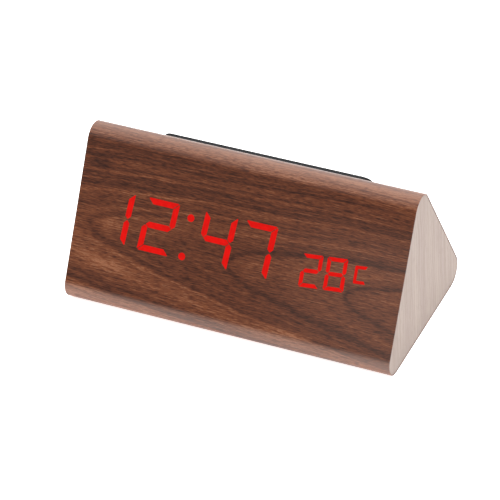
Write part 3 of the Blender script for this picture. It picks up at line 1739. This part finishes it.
@dataclass
class Keys:
    """The three round keys, each a turned cap with a hollowed top and a collar that holds it in."""

    section: CaseSection
    collar_lip: float = 0.7 * MM
    collar_height: float = 0.9 * MM
    collar_edge: float = 0.1 * MM
    rim: float = 0.45 * MM
    hollow: float = 0.25 * MM
    hollow_share: float = 0.72
    hollow_edge: float = 0.5 * MM
    floor_share: float = 0.5
    floor_bend: float = 1.5 * MM
    edge_steps: int = 6
    sides: int = 72

    def key(self, name: str) -> bpy.types.Object:
        """Make one key by turning its profile round the middle of its CAD node.

        Args:
            name: the key's name.

        Returns:
            The key, on its own body.
        """
        face = self.section.faces["back"]
        low, high = box_of(face.read(f"{name}_button"))
        collar = (high[0] - low[0]) / 2
        cap = collar - self.collar_lip
        hollow = cap * self.hollow_share
        height = high[2] - low[2]
        floor = height - self.hollow
        profile = rounded([
            (0, 0, 0), (collar, 0, self.collar_edge), (collar, self.collar_height, self.collar_edge),
            (cap, self.collar_height, 0), (cap, height, self.rim), (hollow, height, self.hollow_edge),
            (hollow * self.floor_share, floor, self.floor_bend), (0, floor, 0),
        ], self.edge_steps)
        middle = (low + high) / 2
        base = face.place(np.array((middle[0], middle[1], low[2])))
        shell = Shell()
        lathe(shell, profile, base, face.out, face.right, self.sides)
        return settle(shell.make(f"{name}_key_cap"), f"{name}_button", Slot.button_black, f"{name}_key")

    def build(self) -> list[bpy.types.Object]:
        """The three keys."""
        return [self.key(name) for name in ("set", "up", "down")]


class Cell(NamedTuple):
    """A cell, with the middle of its flat end and its direction along the back face's first axis."""

    piece: bpy.types.Object
    flat_end: np.ndarray
    sign: float


@dataclass
class Power:
    """Cells, contact springs and leads of the battery bay."""

    section: CaseSection

    # a cell's two ends, with shares of its radius and of its cap's
    cap_radius: float = 1.9 * MM
    cap_height: float = 0.8 * MM
    cap_foot_share: float = 1.2
    cap_round: float = 0.3 * MM
    rim: float = 0.55 * MM
    sleeve: float = 0.08 * MM
    sleeve_lip: Span = (0.02 * MM, 0.04 * MM)
    disc_share: float = 0.8
    crimp_share: float = 0.84
    crimp_depth_share: float = 0.5
    shoulder_share: float = 0.78
    well_share: float = 0.74
    well_depth: float = 0.3 * MM
    soft_bend: float = 0.2 * MM
    tight_bend: float = 0.1 * MM
    cell_steps: int = 5
    cell_sides: int = 56

    # springs
    spring_turns: float = 4.0
    spring_base: float = 3.2 * MM
    spring_tip: float = 1.8 * MM
    spring_wire: float = 0.25 * MM
    spring_steps: int = 260
    spring_sides: int = 12

    # leads
    lead_bend: float = 1.6 * MM
    lead_radius: float = 0.5 * MM
    lead_steps: int = 14
    lead_sides: int = 16

    def cell_profile(self, radius: float, length: float) -> np.ndarray:
        """Draw a cell from the flat end to its cap.

        Args:
            radius: of the cell.
            length: of the cell with its cap.

        Returns:
            Radius and height of each ring.
        """
        metal = radius - self.sleeve
        crimp = self.rim * self.crimp_depth_share
        first_lip, last_lip = self.sleeve_lip
        shoulder = length - self.cap_height
        well = shoulder - self.well_depth
        return rounded([
            (0, 0, 0),
            (radius * self.disc_share, 0, self.soft_bend),
            (radius * self.crimp_share, crimp, self.tight_bend),
            (metal, crimp, self.soft_bend),
            (metal, self.rim, first_lip),
            (radius, self.rim, last_lip),
            (radius, shoulder, self.rim),
            (radius * self.shoulder_share, shoulder, self.tight_bend),
            (radius * self.well_share, well, self.tight_bend),
            (self.cap_radius * self.cap_foot_share, well, self.tight_bend),
            (self.cap_radius, length, self.cap_round),
            (0, length, 0),
        ], self.cell_steps)

    def cell(self, number: int) -> Cell:
        """Turn one cell from its profile, with its share of length for the sleeve's bands.

        Args:
            number: of the cell, from 1.

        Returns:
            The cell.
        """
        face = self.section.faces["back"]
        points = face.read(f"battery_cell_{number}")
        low, high = box_of(points)
        radius = (high[1] - low[1]) / 2
        length = high[0] - low[0]
        middle = (low + high) / 2

        # the cap is at the end where the CAD cell is narrow
        right_end = points[points[:, 0] > high[0] - self.cap_height / 2]
        sign = 1.0 if np.abs(right_end[:, 1] - middle[1]).max() < radius / 2 else -1.0
        flat_end = np.array((low[0] if sign > 0 else high[0], middle[1], middle[2]))
        start, axis = face.place(flat_end), sign * face.right
        shell = Shell()
        lathe(shell, self.cell_profile(radius, length), start, axis, face.up, self.cell_sides)
        piece = shell.make(f"sleeved_cell_{number}")
        shares = (vertex_places(piece.data) - start) @ axis / length
        band = piece.data.attributes.new(LENGTH_SHARE, "FLOAT", "POINT")
        band.data.foreach_set("value", shares.astype(np.float32))
        return Cell(settle(piece, f"battery_cell_{number}", Slot.cell_sleeve), flat_end, sign)

    def springs(self, cells: list[Cell]) -> bpy.types.Object:
        """Wind conical springs: radius and place along the axis change steadily with the angle.

        The pitch eases to nothing at both ends, as a whole turn of a sine does.

        Args:
            cells: the cells whose flat ends the springs press on.

        Returns:
            One piece with all the wires.
        """
        face = self.section.faces["back"]
        low, high = box_of(face.read("contact_springs"))
        share = np.linspace(0, 1, self.spring_steps)
        angle = share * self.spring_turns * TURN
        eased = share - np.sin(share * TURN) / TURN
        radius = self.spring_base + (self.spring_tip - self.spring_base) * share
        shell = Shell()
        for cell in cells:
            x, up, out = cell.flat_end
            plate = low[0] if cell.sign > 0 else high[0]
            away = self.spring_wire + (abs(x - plate) - 2 * self.spring_wire) * eased
            path = np.stack((
                plate + cell.sign * away, up + radius * np.cos(angle), out + radius * np.sin(angle),
            ), axis=1)
            tube(shell, face.place(path), self.spring_wire, face.right, self.spring_sides)
        return settle(shell.make("coiled_springs"), "contact_springs", Slot.contact_nickel)

    def leads(self) -> bpy.types.Object:
        """Carry both leads out of the tail, round a quarter bend, and down to the board.

        Returns:
            One piece with both.
        """
        face = self.section.faces["back"]
        shell = Shell()
        for low, high in face.halves("battery_leads", 1):
            level = high[2] - self.lead_radius
            far = high[0] - self.lead_radius
            line = rounded([(low[0], level, 0), (far, level, self.lead_bend), (far, low[2], 0)],
                           self.lead_steps)
            path = np.stack((line[:, 0], np.full(len(line), (low[1] + high[1]) / 2), line[:, 1]), axis=1)
            tube(shell, face.place(path), self.lead_radius, face.up, self.lead_sides)
        return settle(shell.make("insulated_leads"), "battery_leads", Slot.lead_insulation)

    def build(self) -> list[bpy.types.Object]:
        """Cells first, then the springs that press on their flat ends, then the leads."""
        cells = [self.cell(number) for number in range(1, 5)]
        return [cell.piece for cell in cells] + [self.springs(cells), self.leads()]


@dataclass(frozen=True)
class Softener:
    """Makes a merged copy of a CAD node with its sharp edges rounded."""

    merge: float = 0.001 * MM
    flat: float = math.radians(1)
    sharp: float = math.radians(30)
    segments: int = 2

    def copy(self, node: str, width: float) -> bpy.types.Object:
        """Copy a node, join its flat faces and round its edges.

        Args:
            node: the CAD node.
            width: of the rounding.

        Returns:
            The new piece.
        """
        name = f"{node}_eased"
        mesh = frame["nodes"][node].data.copy()
        mesh.name = name
        work = bmesh.new()
        work.from_mesh(mesh)
        bmesh.ops.remove_doubles(work, verts=work.verts, dist=self.merge)
        bmesh.ops.dissolve_limit(work, angle_limit=self.flat, verts=work.verts, edges=work.edges)
        work.to_mesh(mesh)
        work.free()
        mesh.shade_smooth()
        piece = bpy.data.objects.new(name, mesh)
        bpy.context.scene.collection.objects.link(piece)
        bevel = piece.modifiers.new("rounded edges", "BEVEL")
        bevel.width = width
        bevel.segments = self.segments
        bevel.limit_method = "ANGLE"
        bevel.angle_limit = self.sharp
        bevel.use_clamp_overlap = False
        weighted = piece.modifiers.new("flat faces", "WEIGHTED_NORMAL")
        weighted.keep_sharp = True
        return piece


class Easing(Enum):
    """Rounding of the edges of each CAD piece that is shown as a softened copy, with its slot and body."""

    back_panel = ("back_panel", 0.12 * MM, Slot.black_moulding, "case")
    battery_door = ("battery_door", 0.18 * MM, Slot.black_moulding, "door")
    dc_jack = ("dc_jack", 0.12 * MM, Slot.jack_black, "case")
    contact_plates = ("contact_plates", 0.06 * MM, Slot.contact_nickel, "case")
    buzzer = ("buzzer", 0.3 * MM, Slot.chip_black, "case")
    microphone = ("microphone", 0.2 * MM, Slot.can_metal, "case")
    crystal = ("crystal", 0.35 * MM, Slot.can_metal, "case")
    capacitors = ("capacitors", 0.35 * MM, Slot.capacitor_sleeve, "case")
    thermistor = ("thermistor", 0.18 * MM, Slot.thermistor_bead, "case")
    controller_chip = ("controller_chip", 0.12 * MM, Slot.chip_black, "case")
    display_driver = ("display_driver", 0.12 * MM, Slot.chip_black, "case")
    switch_bodies = ("switch_bodies", 0.15 * MM, Slot.chip_black, "case")
    main_connector = ("main_connector", 0.15 * MM, Slot.connector_white, "case")
    display_connector = ("display_connector", 0.15 * MM, Slot.connector_white, "case")

    def build(self) -> bpy.types.Object:
        """The softened copy, dressed and on its body."""
        node, width, slot, body = self.value
        return settle(Softener().copy(node, width), node, slot, body)


# The studio


@dataclass(frozen=True)
class Studio:
    """A bright white floor, a wide overhead light and a pale backdrop, in a room that is dim in front."""

    floor_size: float = 6.0
    floor_gap: float = 0.02 * MM
    floor_glow: float = 0.9
    paper: Colour = (0.9, 0.9, 0.9)
    paper_rough: float = 0.9
    paper_gloss: float = 0.1
    white: Colour = (1.0, 1.0, 1.0)
    front: float = 0.2
    backdrop: float = 1.7
    rise: Span = (0.3, 1.0)
    behind: Triple = (-0.2, 0.4, 1.0)
    overhead: float = 1.2
    overhead_from: Triple = (-0.15, -0.1, 0.98)
    overhead_spread: float = 70.0

    def floor(self) -> None:
        """White paper that glows a little, so that it stays white."""
        half, low = self.floor_size / 2, -self.floor_gap
        corners = [(-half, -half, low), (half, -half, low), (half, half, low), (-half, half, low)]
        mesh = bpy.data.meshes.new("floor")
        mesh.from_pydata(corners, [], [(0, 1, 2, 3)])
        floor = bpy.data.objects.new("floor", mesh)
        bpy.context.scene.collection.objects.link(floor)
        material = bpy.data.materials.new("white paper")
        surface = Surface(material)
        surface.feed("Base Color", self.paper)
        surface.feed("Roughness", self.paper_rough)
        surface.feed("Specular IOR Level", self.paper_gloss)
        surface.feed("Emission Color", self.white)
        surface.feed("Emission Strength", self.floor_glow)
        mesh.materials.append(material)

    def room(self) -> None:
        """Light that grows with height and towards the backdrop, and plain white past the floor's edge."""
        world = bpy.data.worlds.new("studio")
        bpy.context.scene.world = world
        world.use_nodes = True
        graph = Graph(world.node_tree)
        direction = graph.node("ShaderNodeTexCoord").outputs["Generated"]
        away = graph.add(*graph.parts(graph.stretched(direction, self.behind)))
        level = graph.steps(away, self.rise, self.front, self.backdrop)
        seen = graph.node("ShaderNodeLightPath").outputs["Is Camera Ray"]
        background = world.node_tree.nodes["Background"]
        graph.put(background.inputs["Color"], self.white)
        graph.put(background.inputs["Strength"], graph.math("MAXIMUM", level, seen))

    def lamp(self) -> None:
        """The wide overhead light."""
        light = bpy.data.lights.new("overhead", "SUN")
        light.energy = self.overhead
        light.angle = math.radians(self.overhead_spread)
        lamp = bpy.data.objects.new("overhead", light)
        lamp.rotation_euler = Vector(self.overhead_from).to_track_quat("Z", "Y").to_euler()
        bpy.context.scene.collection.objects.link(lamp)

    def build(self) -> None:
        """Floor, room and lamp."""
        self.floor()
        self.room()
        self.lamp()
        bpy.context.scene.view_settings.view_transform = "Standard"


@dataclass(frozen=True)
class Viewpoint:
    """Where the photograph was taken from, in metres and degrees."""

    yaw: float = 26.57
    elevation: float = 37.35
    roll: float = -3.49
    distance: float = 1.3136
    aside: float = -0.00374
    above: float = -0.00712
    target: Triple = (0.0, 0.0, 0.03)
    lens: float = 223.24
    sensor: float = 36.0
    clip: Span = (0.05, 20.0)

    def build(self) -> None:
        """The scene's camera, turned about its own line of sight by the roll."""
        yaw, elevation, roll = map(math.radians, (self.yaw, self.elevation, self.roll))
        back = Vector((math.sin(yaw) * math.cos(elevation), -math.cos(yaw) * math.cos(elevation),
                       math.sin(elevation)))
        level = Vector((math.cos(yaw), math.sin(yaw), 0))
        rise = back.cross(level)
        right = math.cos(roll) * level + math.sin(roll) * rise
        up = -math.sin(roll) * level + math.cos(roll) * rise
        eye = Vector(self.target) + back * self.distance + right * self.aside + up * self.above
        data = bpy.data.cameras.new("camera")
        data.lens = self.lens
        data.sensor_width = self.sensor
        data.clip_start, data.clip_end = self.clip
        camera = bpy.data.objects.new("camera", data)
        turn = Matrix((right, up, back)).transposed().to_4x4()
        camera.matrix_world = Matrix.Translation(eye) @ turn
        bpy.context.scene.collection.objects.link(camera)
        bpy.context.scene.camera = camera


def dress_nodes() -> None:
    """Give every CAD node its slot's finish."""
    for subpart in frame["record"]["subparts"]:
        Slot[subpart["material_slot"]].value.dress(frame["nodes"][subpart["node"]])


def main() -> None:
    """Build the clock's pieces in order, then the studio and the camera."""
    logging.basicConfig(level=logging.INFO, format="%(name)s: %(message)s")
    dress_nodes()
    section = CaseSection()
    log.info("section side %.2f mm, corners %.2f mm", section.side / MM, section.corner / MM)
    pieces: list[bpy.types.Object] = []
    for builder in (Film(section), EndSkins(section), Keys(section), Power(section), Fasteners(section)):
        made = builder.build()
        pieces += made
        log.info("%s: %s", type(builder).__name__, ", ".join(piece.name for piece in made))
    for easing in Easing:
        pieces.append(easing.build())
        log.info("eased %s", easing.name)
    Studio().build()
    Viewpoint().build()
    log.info("%d new pieces", len(pieces))


if __name__ == "__main__":
    main()
